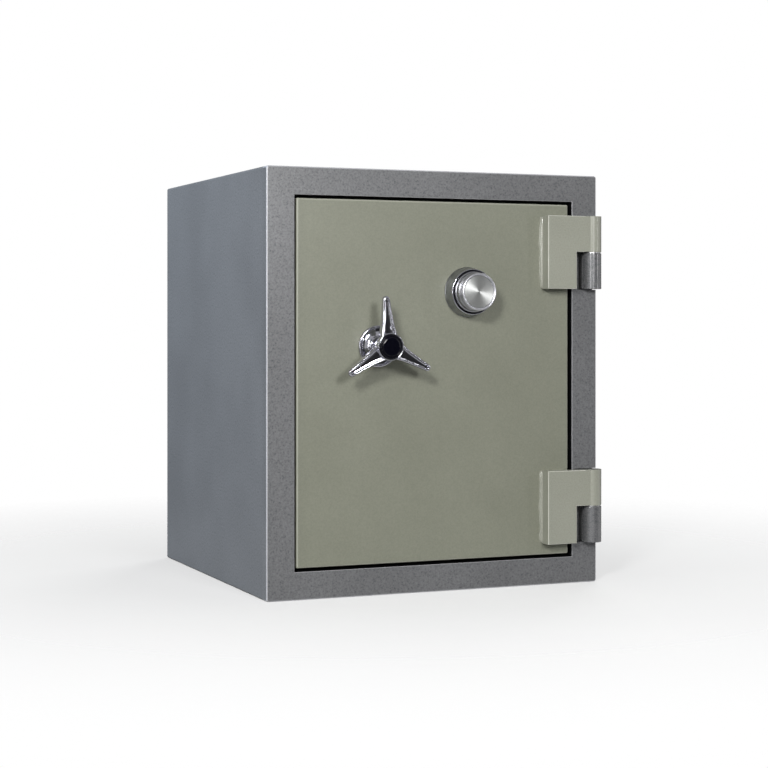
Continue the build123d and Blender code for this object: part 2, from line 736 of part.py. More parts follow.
def guide_studs():
    """Shouldered studs on the mounting plate that the bolt bar slides along."""
    studs = []
    for z in STUD_Z:
        stud = rod(STUD_X, z, PLATE_D, BAR_D + BAR_T + 0.5, STUD_R)
        stud += rod(STUD_X, z, PLATE_D + PLATE_T, BAR_D - 0.5, STUD_R + 4)
        studs.append(stud + rod(STUD_X, z, BAR_D + BAR_T + 0.5, BAR_D + BAR_T + 3, STUD_R + 4))
    return all_of(studs)


# ---------------------------------------------------------------- the dial and lock

def index_mark(angle):
    """One index mark let into the lip of the dial ring, this far anticlockwise from the top."""
    rim = DOOR_FACE_D - RING_H
    low = RING_RIM_R - 1.9
    mark = Pos(0, 0, (low + RING_RIM_R - 0.2) / 2) * Box(1.8, 2.0, RING_RIM_R - 0.2 - low)
    return Pos(DIAL_X, front(rim + 1.0), DIAL_Z) * Rot(0, -angle, 0) * mark


def dial_ring():
    """The polished ring round the dial, with its lip cut for the index marks."""
    face = DOOR_FACE_D
    rim = face - RING_H
    body = turned(DIAL_X, DIAL_Z, [
        (TUBE_R, face), (RING_BASE_R, face), (RING_BASE_R - 0.2, face - 3), (RING_RIM_R + 0.5, rim + 1.5),
        (RING_RIM_R, rim), (RING_RIM_R - 1.4, rim), (RING_RIM_R - 1.8, rim + 2.5), (KNOB_R + 2.0, rim + 3.5),
        (KNOB_R + 2.0, face - 4), (TUBE_R, face - 4),
    ])
    for angle in INDEX_ANGLES:
        body -= index_mark(angle)
    return body


def dial_index():
    """The black enamel in the index marks: one to open by, one to change the combination by."""
    return all_of([index_mark(angle) for angle in INDEX_ANGLES])


def dial():
    """The dial's knob, stepped and finely ribbed round its side."""
    face = DOOR_FACE_D
    back = face - 5
    tip = face - KNOB_H
    profile = [(DIAL_SPINDLE_R, back), (KNOB_R - 4, back), (KNOB_R, back - 3)]
    ridges = 6
    start = face - 21
    pitch = (start - (tip + 8)) / ridges
    for i in range(ridges):
        d = start - i * pitch
        r = KNOB_R - i * (KNOB_R - KNOB_RIM_R) / ridges
        profile += [(r, d), (r - 0.7, d - 0.25 * pitch), (r - 0.7, d - 0.6 * pitch), (r, d - 0.85 * pitch)]
    profile += [(KNOB_RIM_R - 0.6, tip + 8), (KNOB_RIM_R - 0.6, tip + 6), (FACE_R, tip + 6)]
    profile += [(FACE_R, tip + 4), (0, tip + 4), (0, tip + 9), (DIAL_SPINDLE_R, tip + 9)]
    return turned(DIAL_X, DIAL_Z, profile)


def dial_bezel():
    """The bright rim round the face of the dial."""
    tip = DOOR_FACE_D - KNOB_H
    return turned(DIAL_X, DIAL_Z, [
        (FACE_R, tip + 6), (KNOB_RIM_R - 0.6, tip + 6), (KNOB_RIM_R, tip + 4.5), (KNOB_RIM_R, tip + 1.6),
        (KNOB_RIM_R - 1.6, tip), (KNOB_RIM_R - 2.6, tip), (FACE_R, tip + 1.4),
    ])


def dial_face():
    """The spun-finished disc let into the front of the dial, dished very slightly."""
    tip = DOOR_FACE_D - KNOB_H
    return turned(DIAL_X, DIAL_Z, [
        (0, tip + 4), (FACE_R, tip + 4), (FACE_R, tip + 2.2), (FACE_R - 0.8, tip + 1.8), (0, tip + 2.2),
    ])


def dial_spindle():
    """The thin shaft from the dial to the drive cam."""
    return rod(DIAL_X, DIAL_Z, DOOR_FACE_D - KNOB_H + 9, CAM_D[1], DIAL_SPINDLE_R)


def spindle_tube():
    """The tube that keeps the dial's spindle clear of the fill."""
    outer = rod(DIAL_X, DIAL_Z, DOOR_FACE_D - 4, LOCK_D, TUBE_R)
    return outer - rod(DIAL_X, DIAL_Z, -20, LOCK_D + 1, TUBE_BORE_R)


def gate(radius, depth, width, d0, d1):
    """The notch in a wheel's rim, where the fence can drop in."""
    notch = Pos(0, 0, radius) * Box(width, d1 - d0, 2 * depth)
    return Pos(DIAL_X, front((d0 + d1) / 2), DIAL_Z) * Rot(0, 90 - GATE_ANGLE, 0) * notch


def drive_cam():
    """The notched cam on the spindle's inner end."""
    radius = WHEEL_R - 0.5
    disc = rod(DIAL_X, DIAL_Z, *CAM_D, radius) - rod(DIAL_X, DIAL_Z, *CAM_D, DIAL_SPINDLE_R)
    disc -= gate(radius, 6.0, 7.0, *CAM_D)
    return disc + rod(DIAL_X, DIAL_Z, CAM_D[1], CAM_D[1] + 0.8, 8.0)


def combination_wheel(index):
    """One wheel of the pack, with its gate under the fence and a drive pin on its side."""
    d0 = WHEEL_D[index]
    d1 = d0 + WHEEL_T
    disc = rod(DIAL_X, DIAL_Z, d0, d1, WHEEL_R) - rod(DIAL_X, DIAL_Z, d0, d1, WHEEL_BORE_R + BUSH_FIT)
    disc -= gate(WHEEL_R, 4.5, 7.5, d0, d1)
    pin_angle = math.radians(20 + 110 * index)
    x = DIAL_X + 15 * math.cos(pin_angle)
    z = DIAL_Z + 15 * math.sin(pin_angle)
    return disc + rod(x, z, d0 - 0.7, d0, 1.5)


def wheel_post():
    """The fixed post on the lock's cover that the wheels turn on, with spacing collars."""
    end = LOCK_D + LOCK_T - LOCK_WALL
    shaft = rod(DIAL_X, DIAL_Z, WHEEL_D[0] - 1, end, WHEEL_BORE_R)
    for d0 in WHEEL_D:
        d1 = d0 + WHEEL_T + 0.4
        shaft += rod(DIAL_X, DIAL_Z, d1, min(d1 + 0.7, end), 9.0)
    return shaft


def lock_screw_places():
    inset = LOCK_CORNER / 2
    xs = (DIAL_X - LOCK_W / 2 + inset, DIAL_X + LOCK_W / 2 - inset)
    zs = (LOCK_Z[0] + inset, LOCK_Z[1] - inset)
    return [(x, z) for x in xs for z in zs]


def lock_outline(d0, d1):
    return block(DIAL_X - LOCK_W / 2, DIAL_X + LOCK_W / 2, d0, d1, *LOCK_Z)


def lock_case():
    """The cast case of the combination lock, open at the back."""
    d1 = LOCK_D + LOCK_T - LOCK_WALL
    half = LOCK_W / 2 - LOCK_WALL
    case = lock_outline(LOCK_D, d1)
    cavity = block(DIAL_X - half, DIAL_X + half, LOCK_D + LOCK_WALL, d1 + 1,
                   LOCK_Z[0] + LOCK_WALL, LOCK_Z[1] - LOCK_WALL)
    solid = LOCK_CORNER / 2
    for x, z in lock_screw_places():
        cavity -= block(x - solid, x + solid, LOCK_D, d1 + 2, z - solid, z + solid)
    case -= cavity
    case -= rod(DIAL_X, DIAL_Z, LOCK_D - 1, LOCK_D + LOCK_WALL + 1, DIAL_SPINDLE_R + BUSH_FIT)
    case -= block(DIAL_X - BOLT_W / 2 - 0.3, DIAL_X + BOLT_W / 2 + 0.3, LOCK_BOLT_D[0] - 0.3,
                  LOCK_BOLT_D[1] + 0.3, LOCK_Z[1] - LOCK_WALL - 1, LOCK_Z[1] + 1)
    for x, z in lock_screw_places():
        case -= rod(x, z, LOCK_D - 1, d1 + 1, SCREW_R)
    return case


def lock_cover():
    """The plate that closes the lock's case."""
    d1 = LOCK_D + LOCK_T
    plate = lock_outline(d1 - LOCK_WALL, d1)
    for x, z in lock_screw_places():
        plate -= rod(x, z, d1 - LOCK_WALL - 1, d1 + 1, SCREW_R)
    return plate


def lock_screws():
    d1 = LOCK_D + LOCK_T
    return all_of([pan_screw(x, z, d1, PLATE_D + 1, SCREW_R, 4.5, 2.4) for x, z in lock_screw_places()])


def lock_bolt():
    """The lock's own bolt, drawn down clear of the bolt bar's tab."""
    half = BOLT_W / 2
    return block(DIAL_X - half, DIAL_X + half, *LOCK_BOLT_D, LEVER_Z[0] - 1, LOCK_BOLT_TOP)


def lock_lever():
    """The lever screwed to the lock bolt, with its fence over the wheels and its nose over the cam."""
    tail = DIAL_X - 19.0
    fence_low = DIAL_Z + 19.0
    lever = block(tail, DIAL_X + 6, LOCK_BOLT_D[1], LOCK_BOLT_D[1] + 3.5, *LEVER_Z)
    lever += block(tail, tail + 6, LOCK_BOLT_D[1] + 3.5, WHEEL_D[-1] + WHEEL_T, fence_low, LEVER_Z[1])
    lever += block(tail, tail + 6, CAM_D[0], LOCK_BOLT_D[1] + 3.5, fence_low, LEVER_Z[1])
    return lever


PARTS = {
    "front_frame": front_frame,
    "outer_casing": outer_casing,
    "back_panel": back_panel,
    "jamb_left": jamb_left,
    "jamb_right": jamb_right,
    "jamb_top": lambda: level_jamb(1),
    "jamb_bottom": lambda: level_jamb(-1),
    "bolt_keeper": bolt_keeper,
    "dead_bar_keeper": dead_bar_keeper,
    "inner_liner": inner_liner,
    "anchor_sleeves": anchor_sleeves,
    "wall_insulation": wall_insulation,
    "shelf": shelf,
    "shelf_brackets": shelf_brackets,
    "hinge_knuckles": hinge_knuckles,
    "hinge_pins": hinge_pins,
    "hinge_washers": hinge_washers,
    "door_plate": door_plate,
    "door_pan": door_pan,
    "door_back_cover": door_back_cover,
    "cover_screws": cover_screws,
    "door_insulation": door_insulation,
    "hard_plate": hard_plate,
    "boltwork_plate": boltwork_plate,
    "door_seal": door_seal,
    "dead_bar": dead_bar,
    "lower_hinge_block": lambda: hinge_block(HINGE_Z[0]),
    "upper_hinge_block": lambda: hinge_block(HINGE_Z[1]),
    "hinge_welds": hinge_welds,
    "bolt_bushings": bolt_bushings,
    "guide_studs": guide_studs,
    "bolt_bar": bolt_bar,
    "live_bolts": live_bolts,
    "bolt_screws": bolt_screws,
    "handle_flange": handle_flange,
    "handle_bushing": handle_bushing,
    "handle": handle,
    "hub_cap": hub_cap,
    "handle_spindle": handle_spindle,
    "handle_crank": handle_crank,
    "dial_ring": dial_ring,
    "dial_index": dial_index,
    "dial": dial,
    "dial_bezel": dial_bezel,
    "dial_face": dial_face,
    "dial_spindle": dial_spindle,
    "spindle_tube": spindle_tube,
    "drive_cam": drive_cam,
    "wheel_1": lambda: combination_wheel(0),
    "wheel_2": lambda: combination_wheel(1),
    "wheel_3": lambda: combination_wheel(2),
    "wheel_post": wheel_post,
    "lock_case": lock_case,
    "lock_cover": lock_cover,
    "lock_screws": lock_screws,
    "lock_bolt": lock_bolt,
    "lock_lever": lock_lever,
}

os.makedirs("parts", exist_ok=True)
for name, make in PARTS.items():
    export_step(make(), f"parts/{name}.step")
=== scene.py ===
"""Looks for a compact combination safe: paint, plated and machined metal, floor, light and camera."""
import json
import math

import bmesh
import bpy
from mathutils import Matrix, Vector


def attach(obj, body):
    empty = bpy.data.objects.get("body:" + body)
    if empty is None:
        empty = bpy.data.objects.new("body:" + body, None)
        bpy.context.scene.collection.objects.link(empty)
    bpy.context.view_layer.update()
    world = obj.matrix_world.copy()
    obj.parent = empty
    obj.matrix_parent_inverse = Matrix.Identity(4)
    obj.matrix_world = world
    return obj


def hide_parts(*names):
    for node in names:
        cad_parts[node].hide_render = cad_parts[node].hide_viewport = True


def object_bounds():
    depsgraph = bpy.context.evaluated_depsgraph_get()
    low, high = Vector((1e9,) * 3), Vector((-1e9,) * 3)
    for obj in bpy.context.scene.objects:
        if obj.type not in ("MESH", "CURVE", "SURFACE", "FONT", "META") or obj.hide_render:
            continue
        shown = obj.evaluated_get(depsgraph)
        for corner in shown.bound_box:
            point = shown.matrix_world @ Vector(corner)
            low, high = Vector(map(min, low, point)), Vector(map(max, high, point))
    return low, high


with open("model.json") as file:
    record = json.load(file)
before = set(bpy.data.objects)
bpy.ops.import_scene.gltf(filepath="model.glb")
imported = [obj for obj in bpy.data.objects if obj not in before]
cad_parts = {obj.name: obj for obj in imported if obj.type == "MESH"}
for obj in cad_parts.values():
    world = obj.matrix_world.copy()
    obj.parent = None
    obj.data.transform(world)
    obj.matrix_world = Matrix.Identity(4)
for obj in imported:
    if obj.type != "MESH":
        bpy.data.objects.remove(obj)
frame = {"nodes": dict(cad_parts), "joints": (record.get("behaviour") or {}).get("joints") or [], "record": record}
CAD_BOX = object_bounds()
NODES = frame["nodes"]
SLOT_OF = {part["node"]: part["material_slot"] for part in frame["record"]["subparts"]}
BODY_OF = {node: body for body, nodes in frame["record"]["behaviour"]["bodies"].items() for node in nodes}
JOINT = {joint["name"]: joint for joint in frame["joints"]}
MM = 0.001

# The doorway in the front frame, and where the painted edge highlight ends, in metres.
DOORWAY_HALF_WIDTH = 0.24762
DOORWAY_HALF_HEIGHT = 0.29812
DOORWAY_MIDDLE_Z = 0.3425
DOORWAY_FRONT_Y = -0.2833
HINGE_BARRELS_X = 0.262
PAST_THE_OBJECT_X = 9.0


# ---------------------------------------------------------------- materials

class Shader:
    """One material's node tree, with short calls for the nodes that this file uses."""

    def __init__(self, name, **values):
        self.material = bpy.data.materials.new(name)
        self.material.use_nodes = True
        self.tree = self.material.node_tree
        self.surface = self.tree.nodes["Principled BSDF"]
        for socket, value in values.items():
            self.surface.inputs[socket.replace("_", " ")].default_value = value

    def node(self, kind, **settings):
        made = self.tree.nodes.new(kind)
        for key, value in settings.items():
            setattr(made, key, value)
        return made

    def link(self, source, target):
        self.tree.links.new(source, target)

    def place(self, scale=(1, 1, 1)):
        """Object coordinates in metres, stretched by this much along each axis."""
        coordinates = self.node("ShaderNodeTexCoord").outputs["Object"]
        if tuple(scale) == (1, 1, 1):
            return coordinates
        mapping = self.node("ShaderNodeMapping")
        mapping.inputs["Scale"].default_value = scale
        self.link(coordinates, mapping.inputs["Vector"])
        return mapping.outputs[0]

    def noise(self, size, detail=3.0, roughness=0.5, stretch=(1, 1, 1)):
        """Noise whose lumps are about this many millimetres across."""
        made = self.node("ShaderNodeTexNoise")
        made.inputs["Scale"].default_value = 1000.0 / size
        made.inputs["Detail"].default_value = detail
        made.inputs["Roughness"].default_value = roughness
        self.link(self.place(stretch), made.inputs["Vector"])
        return made.outputs["Fac"]

    def ramp(self, source, *stops):
        """Maps a value to colours or grey levels. Each stop is (position, colour or grey level)."""
        made = self.node("ShaderNodeValToRGB")
        while len(made.color_ramp.elements) < len(stops):
            made.color_ramp.elements.new(0.5)
        for element, (position, colour) in zip(made.color_ramp.elements, stops):
            element.position = position
            element.color = (*colour, 1) if isinstance(colour, tuple) else (colour, colour, colour, 1)
        self.link(source, made.inputs["Fac"])
        return made.outputs["Color"]

    def span(self, source, low, high):
        """Maps a value from 0..1 to low..high."""
        made = self.node("ShaderNodeMapRange")
        made.inputs["To Min"].default_value = low
        made.inputs["To Max"].default_value = high
        self.link(source, made.inputs["Value"])
        return made.outputs["Result"]

    def math(self, operation, first, second=None):
        """One sum on one or two values. Each is a number or another node's output."""
        made = self.node("ShaderNodeMath", operation=operation)
        for socket, value in zip(made.inputs, (first, second)):
            if value is None:
                continue
            if isinstance(value, (int, float)):
                socket.default_value = value
            else:
                self.link(value, socket)
        return made.outputs[0]

    def mix(self, factor, first, second, blend="MIX"):
        """Mixes two colours. Each is a colour or another node's output."""
        made = self.node("ShaderNodeMix", data_type="RGBA", blend_type=blend)
        first_colour, second_colour, mixed_colour = made.inputs[6], made.inputs[7], made.outputs[2]
        sockets = (made.inputs["Factor"], first_colour, second_colour)
        for socket, value in zip(sockets, (factor, first, second)):
            if isinstance(value, (int, float)):
                socket.default_value = value
            elif isinstance(value, tuple):
                socket.default_value = (*value, 1)
            else:
                self.link(value, socket)
        return mixed_colour

    def bump(self, height, depth_mm, below=None):
        """A bump of this depth in millimetres, on top of another bump if there is one."""
        made = self.node("ShaderNodeBump")
        made.inputs["Strength"].default_value = 1.0
        made.inputs["Distance"].default_value = depth_mm * MM
        self.link(height, made.inputs["Height"])
        if below is not None:
            self.link(below, made.inputs["Normal"])
        return made.outputs["Normal"]

    def put(self, **sources):
        """Links nodes to the surface's sockets, and returns the finished material."""
        for socket, source in sources.items():
            self.link(source, self.surface.inputs[socket.replace("_", " ")])
        return self.material


def edge_mask(paint, right_end=PAST_THE_OBJECT_X):
    """Where a highlight is painted on: 1 on rounded edges left of right_end (metres), and 0 on flat faces that lie
    along the axes.
    """
    normal = paint.node("ShaderNodeVectorMath", operation="ABSOLUTE")
    paint.link(paint.node("ShaderNodeTexCoord").outputs["Normal"], normal.inputs[0])
    axes = paint.node("ShaderNodeSeparateXYZ")
    paint.link(normal.outputs[0], axes.inputs[0])
    largest = paint.math("MAXIMUM", axes.outputs[0], axes.outputs[1])
    largest = paint.math("MAXIMUM", largest, axes.outputs[2])
    place = paint.node("ShaderNodeSeparateXYZ")
    paint.link(paint.place(), place.inputs[0])
    rounded = paint.ramp(paint.math("SUBTRACT", 1.0, largest), (0.01, 0.0), (0.12, 1.0))
    return paint.math("MULTIPLY", rounded, paint.math("LESS_THAN", place.outputs[0], right_end))


def doorway_mask(paint):
    """1 inside the doorway and 0 outside it, from the object's own coordinates."""
    axes = paint.node("ShaderNodeSeparateXYZ")
    paint.link(paint.place(), axes.inputs[0])
    across = paint.math("ABSOLUTE", axes.outputs[0])
    up = paint.math("ABSOLUTE", paint.math("SUBTRACT", axes.outputs[2], DOORWAY_MIDDLE_Z))
    within_width = paint.math("LESS_THAN", across, DOORWAY_HALF_WIDTH)
    within_height = paint.math("LESS_THAN", up, DOORWAY_HALF_HEIGHT)
    behind_front = paint.math("GREATER_THAN", axes.outputs[1], DOORWAY_FRONT_Y)
    return paint.math("MULTIPLY", paint.math("MULTIPLY", within_width, within_height), behind_front)


def hammertone(name, doorway=False, edges=False, coat=(0.3, 0.18), rough=(0.34, 0.48)):
    """The body's grey enamel: a fine hammered texture with darker pits and faint drift in tone.

    doorway blackens the inside of the doorway, edges paints a highlight on rounded edges
    by lightening them, and coat is (weight, roughness).
    """
    paint = Shader(name, Metallic=0.3, Coat_Weight=coat[0], Coat_Roughness=coat[1])
    lumps = paint.noise(3.0, detail=3.0, roughness=0.62)
    fine = paint.noise(1.2, detail=2.0)
    drift = paint.noise(160, detail=2.0)
    tone = paint.ramp(lumps, (0.30, (0.098, 0.100, 0.106)), (0.44, (0.160, 0.162, 0.167)),
                      (0.72, (0.212, 0.214, 0.219)))
    shade = paint.ramp(drift, (0.35, 0.93), (0.65, 1.04))
    colour = paint.mix(1.0, tone, shade, "MULTIPLY")
    if edges:
        # Painted highlight: rounded edges are lightened to stand in for the light they catch.
        colour = paint.mix(edge_mask(paint), colour, (0.50, 0.50, 0.52))
    if doorway:
        colour = paint.mix(doorway_mask(paint), colour, (0.006, 0.006, 0.007))
    normal = paint.bump(fine, 0.05, below=paint.bump(lumps, 0.2))
    return paint.put(Base_Color=colour, Roughness=paint.span(fine, *rough), Normal=normal)


def satin_enamel(name, dark, light, bump_mm, rough, edge=None, coat=(0.1, 0.2)):
    """Olive-grey enamel: a very fine satin orange peel, with a highlight painted on rounded edges.

    edge is the colour of the highlight painted on rounded edges, and coat is (weight, roughness).
    """
    paint = Shader(name, Coat_Weight=coat[0], Coat_Roughness=coat[1])
    peel = paint.noise(2.4, detail=3.0, roughness=0.55)
    drift = paint.noise(110, detail=3.0)
    colour = paint.mix(paint.ramp(drift, (0.3, 0.0), (0.7, 1.0)), dark, light)
    speck = paint.ramp(peel, (0.3, 0.9), (0.55, 1.0), (0.75, 1.07))
    colour = paint.mix(1.0, colour, speck, "MULTIPLY")
    if edge:
        # Painted highlight: rounded edges are lightened to stand in for the light they catch.
        colour = paint.mix(edge_mask(paint, HINGE_BARRELS_X), colour, edge)
    return paint.put(Base_Color=colour, Roughness=paint.span(peel, *rough),
                     Normal=paint.bump(peel, bump_mm))


def chrome_plate():
    """Bright chrome with a trace of polishing haze."""
    plate = Shader("chrome_plate", Base_Color=(0.52, 0.52, 0.57, 1), Metallic=1.0)
    haze = plate.noise(14, detail=4.0, roughness=0.6)
    ripple = plate.noise(12, detail=1.0)
    return plate.put(Roughness=plate.span(haze, 0.03, 0.09), Normal=plate.bump(ripple, 0.001))


def satin_metal(name, colour, rough, grain=(1, 1, 1), spots=0.0):
    """Machined or plated metal. grain can draw its half-millimetre grain out along one axis."""
    metal = Shader(name, Metallic=1.0)
    brush = metal.noise(0.5, detail=4.0, roughness=0.65, stretch=grain)
    cloud = metal.noise(18, detail=4.0, roughness=0.6)
    light = tuple(min(1.0, c * 1.08) for c in colour)
    dark = tuple(c * (0.86 - spots) for c in colour)
    tone = metal.mix(metal.ramp(cloud, (0.35, 0.0), (0.65, 1.0)), dark, light)
    streak = metal.ramp(brush, (0.3, 0.9), (0.7, 1.05))
    return metal.put(Base_Color=metal.mix(1.0, tone, streak, "MULTIPLY"),
                     Roughness=metal.span(cloud, *rough), Normal=metal.bump(brush, 0.015))


def spun_metal(centre):
    """The dial's face: fine concentric turning marks, which spread the light along the radius."""
    disc = Shader("spun_metal", Metallic=1.0, Anisotropic=0.72, Anisotropic_Rotation=0.25, Roughness=0.42)
    tangent = disc.node("ShaderNodeTangent", direction_type="RADIAL", axis="Y")
    disc.link(tangent.outputs[0], disc.surface.inputs["Tangent"])
    offset = disc.node("ShaderNodeVectorMath", operation="SUBTRACT")
    offset.inputs[1].default_value = centre
    disc.link(disc.place(), offset.inputs[0])
    flat = disc.node("ShaderNodeVectorMath", operation="MULTIPLY")
    flat.inputs[1].default_value = (1, 0, 1)
    disc.link(offset.outputs[0], flat.inputs[0])
    length = disc.node("ShaderNodeVectorMath", operation="LENGTH")
    disc.link(flat.outputs[0], length.inputs[0])
    rings = disc.node("ShaderNodeTexNoise", noise_dimensions="1D")
    rings.inputs["Scale"].default_value = 4500
    rings.inputs["Detail"].default_value = 3
    disc.link(length.outputs["Value"], rings.inputs["W"])
    colour = disc.ramp(rings.outputs["Fac"], (0.3, (0.50, 0.51, 0.50)), (0.7, (0.66, 0.67, 0.66)))
    return disc.put(Base_Color=colour, Normal=disc.bump(rings.outputs["Fac"], 0.01))


def black_gloss():
    """The hub's moulded insert: deep black, with the faintest swirl marks."""
    gloss = Shader("black_gloss", Specular_IOR_Level=0.3)
    swirl = gloss.noise(5, detail=5.0, roughness=0.7)
    colour = gloss.ramp(swirl, (0.3, (0.0015, 0.0015, 0.004)), (0.7, (0.003, 0.003, 0.007)))
    return gloss.put(Base_Color=colour, Roughness=gloss.span(swirl, 0.06, 0.14))


def dull(name, dark, light, size, rough, bump_mm):
    """Anything matt: enamel fill, seal strip or cast fill."""
    matt = Shader(name)
    grain = matt.noise(size, detail=5.0, roughness=0.65)
    return matt.put(Base_Color=matt.ramp(grain, (0.3, dark), (0.7, light)),
                    Roughness=matt.span(grain, *rough), Normal=matt.bump(grain, bump_mm))


DIAL_AT = Vector(JOINT["dial_turn"]["pos_m"])
HANDLE_AT = Vector(JOINT["handle_turn"]["pos_m"])

# The hinge blocks and welds wear the door's paint; these colours are lighter than the door's to stand in for the
# light they catch: painted light.
HINGE_LIT_COLOURS = (0.312, 0.317, 0.262), (0.345, 0.349, 0.291)
WELD_LIT_COLOURS = (0.300, 0.305, 0.252), (0.332, 0.336, 0.280)
MATERIALS = {
    "body_paint": hammertone("body_enamel", coat=(0.1, 0.35), rough=(0.5, 0.62)),
    "jamb_black": dull("jamb_black", (0.005, 0.005, 0.006), (0.009, 0.009, 0.010),
                       2.5, (0.45, 0.6), 0.05),
    # The door's edge colour is a painted highlight on its rounded edges.
    "door_paint": satin_enamel("door_enamel", (0.212, 0.218, 0.168), (0.232, 0.238, 0.185),
                               0.06, (0.38, 0.5), edge=(0.40, 0.41, 0.34)),
    # The hinge blocks' edge colour is a painted highlight on their rounded edges.
    "hinge_paint": satin_enamel("hinge_enamel", *HINGE_LIT_COLOURS, 0.03, (0.28, 0.38),
                                edge=(0.60, 0.60, 0.53), coat=(0.8, 0.09)),
    "liner_paint": satin_enamel("liner_enamel", (0.46, 0.47, 0.47), (0.52, 0.53, 0.53),
                                0.05, (0.42, 0.55)),
    "bare_steel": satin_metal("bare_steel", (0.52, 0.52, 0.53), (0.24, 0.4), grain=(0.05, 1, 1)),
    "zinc_steel": satin_metal("zinc_steel", (0.60, 0.60, 0.57), (0.3, 0.48), spots=0.1),
    "chrome": chrome_plate(),
    "spun_metal": spun_metal(DIAL_AT),
    "black_gloss": black_gloss(),
    "index_black": dull("index_black", (0.008, 0.008, 0.008), (0.02, 0.02, 0.02),
                        2, (0.5, 0.7), 0.01),
    "brass": satin_metal("brass", (0.68, 0.50, 0.22), (0.25, 0.42)),
    "lock_casting": satin_metal("lock_casting", (0.50, 0.50, 0.48), (0.42, 0.6)),
    "seal_rubber": dull("seal_rubber", (0.012, 0.012, 0.013), (0.03, 0.03, 0.03),
                        1.5, (0.7, 0.9), 0.08),
    "fire_fill": dull("fire_fill", (0.40, 0.38, 0.34), (0.62, 0.60, 0.55),
                      4, (0.8, 0.95), 0.3),
}
# The weld takes the lighter, painted-light copy of the door's paint.
WELD_PAINT = satin_enamel("weld_enamel", *WELD_LIT_COLOURS, 0.25, (0.2, 0.3), coat=(0.9, 0.1))
# edges=True paints a highlight on the frame's rounded edges.
FRAME_PAINT = hammertone("frame_enamel", doorway=True, edges=True)
KNUCKLE_PAINT = hammertone("knuckle_enamel", coat=(1.0, 0.07), rough=(0.2, 0.32))
KNOB_SATIN = satin_metal("knob_satin", (0.46, 0.46, 0.50), (0.26, 0.36))
RIM_SATIN = satin_metal("rim_satin", (0.74, 0.74, 0.79), (0.26, 0.34))
COLLAR_SATIN = satin_metal("collar_satin", (0.38, 0.39, 0.41), (0.3, 0.46), spots=0.2)
for node, slot in SLOT_OF.items():
    mesh = NODES[node].data
    mesh.materials.clear()
    mesh.materials.append(MATERIALS[slot])
NODES["front_frame"].data.materials[0] = FRAME_PAINT
NODES["hinge_knuckles"].data.materials[0] = KNUCKLE_PAINT


# ---------------------------------------------------------------- pieces that stand for CAD nodes

# Millimetres. A depth is measured back from the front of the body, so a negative one stands in front of it.
FRONT = DIAL_AT.y
DOOR_FACE = 4.2
HUB_R = 21.8

# The spokes, as (distance from the handle's axis, value).
TIP_R = 80.5
TIP_ROUND = 5
SPOKE_TILT = 3.2
SPOKE_ROOT = 12
SPOKE_HALF_WIDTH = [(SPOKE_ROOT, 14.6), (20, 13.2), (26, 11.8), (34, 10.3), (58, 7.3),
                    (TIP_R - TIP_ROUND, 5.7), (TIP_R, 5.5)]
SPOKE_FRONT = [(SPOKE_ROOT, -50.2), (34, -47.6), (58, -45.6), (TIP_R, -44.5)]
SPOKE_BACK = [(SPOKE_ROOT, -33.4), (34, -34.2), (58, -35.2), (TIP_R, -36.2)]

# The dial's number band runs forward from its back edge and narrows a little.
BAND_BACK_DEPTH = -22.6
BAND_BACK_R = 31.7
BAND_LENGTH = 7.8
BAND_TAPER = 0.6
INK_STANDS_PROUD = 0.06

# The weld runs beside the hinge blocks.
HINGE_BLOCK_X = 192.0
HINGES_MIDDLE_Z = 342.5
HINGE_FROM_MIDDLE = 212.5
WELD_HALF_LENGTH = 60.5
WELD_STEPS = 110


def at(x, depth, z):
    """A point given in millimetres, with its depth behind the front of the body."""
    return Vector((x * MM, FRONT + depth * MM, z * MM))


def finish_piece(name, shell, node, sharp=32, material=None):
    """Turns a bmesh into a smooth piece that stands for a CAD node and rides on its body.

    Edges that turn more than sharp degrees stay crisp.
    """
    bmesh.ops.remove_doubles(shell, verts=shell.verts, dist=1e-6)
    bmesh.ops.recalc_face_normals(shell, faces=shell.faces)
    mesh = bpy.data.meshes.new(name)
    shell.to_mesh(mesh)
    shell.free()
    mesh.shade_smooth()
    mesh.set_sharp_from_angle(angle=math.radians(sharp))
    mesh.materials.append(material or MATERIALS[SLOT_OF[node]])
    piece = bpy.data.objects.new(name, mesh)
    bpy.context.scene.collection.objects.link(piece)
    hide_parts(node)
    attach(piece, BODY_OF[node])
    return piece


def softened(profile, radius, steps=4):
    """The same outline with each inner corner rounded by up to this radius."""
    points = [Vector(point) for point in profile]
    result = [points[0]]
    for before, corner, after in zip(points, points[1:], points[2:]):
        cut = min(radius, (corner - before).length * 0.45, (after - corner).length * 0.45)
        start = corner + (before - corner).normalized() * cut
        end = corner + (after - corner).normalized() * cut
        for i in range(steps + 1):
            t = i / steps
            result.append(start * (1 - t) ** 2 + corner * 2 * t * (1 - t) + end * t ** 2)
    return result + [points[-1]]


def lathe(shell, centre, profile, segments=160, ribs=None):
    """Revolves a (radius, depth) outline in millimetres about a front-to-back axis.

    ribs is (nearest depth, farthest depth, rib height): there every second point is let in.
    """
    rings = []
    for radius, depth in profile:
        if radius < 0.01:
            rings.append([shell.verts.new((centre.x, FRONT + depth * MM, centre.z))])
            continue
        cut = ribs[2] if ribs and ribs[0] <= depth <= ribs[1] else 0.0
        ring = []
        for i in range(segments):
            angle = 2 * math.pi * i / segments
            r = (radius - (cut if i % 2 else 0.0)) * MM
            ring.append(shell.verts.new((centre.x + r * math.sin(angle), FRONT + depth * MM,
                                         centre.z + r * math.cos(angle))))
        rings.append(ring)
    for first, second in zip(rings, rings[1:]):
        for i in range(segments):
            j = (i + 1) % segments
            corners = [first[i % len(first)], first[j % len(first)],
                       second[j % len(second)], second[i % len(second)]]
            shell.faces.new(list(dict.fromkeys(corners)))


